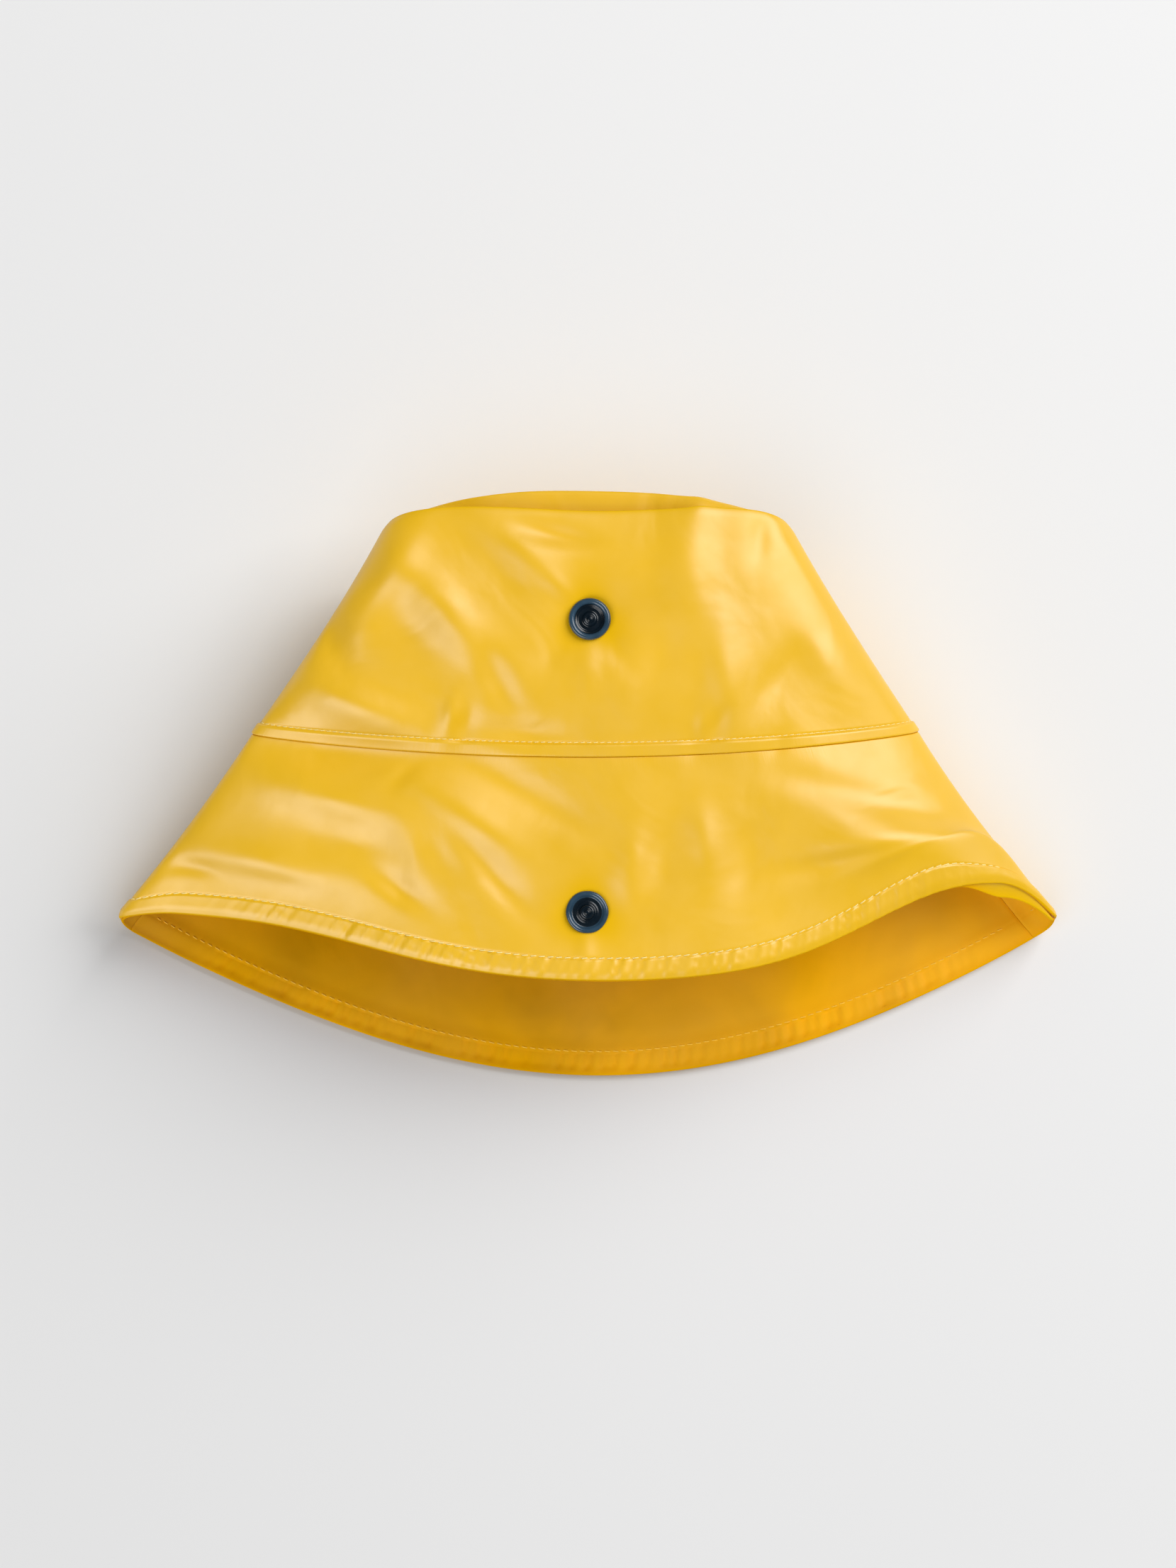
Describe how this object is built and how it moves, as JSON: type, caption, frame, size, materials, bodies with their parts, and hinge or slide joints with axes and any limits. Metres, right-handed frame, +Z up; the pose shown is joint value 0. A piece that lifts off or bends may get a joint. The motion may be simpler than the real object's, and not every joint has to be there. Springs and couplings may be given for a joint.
{
  "type": "rain hat",
  "caption": "Child's bucket rain hat of coated cloth, laid flat on its back: round tip, tapered crown, flared brim with a folded hem, and two dark snap halves down the front",
  "frame": {"origin": "on the table under the middle of the hat's outline, as it lies on its back", "axes": "+X to the right along the brim, +Y from the mouth towards the tip, +Z up out of the hat's front"},
  "size_m": [0.3368, 0.2068, 0.059],
  "materials": {
    "coated_cloth": "satin",
    "snap_plastic": "gloss"
  },
  "bodies": {
    "root": {"crown_tip": "coated_cloth", "crown_front": "coated_cloth", "crown_back": "coated_cloth", "brim_front": "coated_cloth", "brim_back": "coated_cloth", "crown_snap_socket": "snap_plastic", "crown_snap_cap": "snap_plastic", "brim_snap_stud": "snap_plastic", "brim_snap_cap": "snap_plastic"}
  },
  "joints": []
}
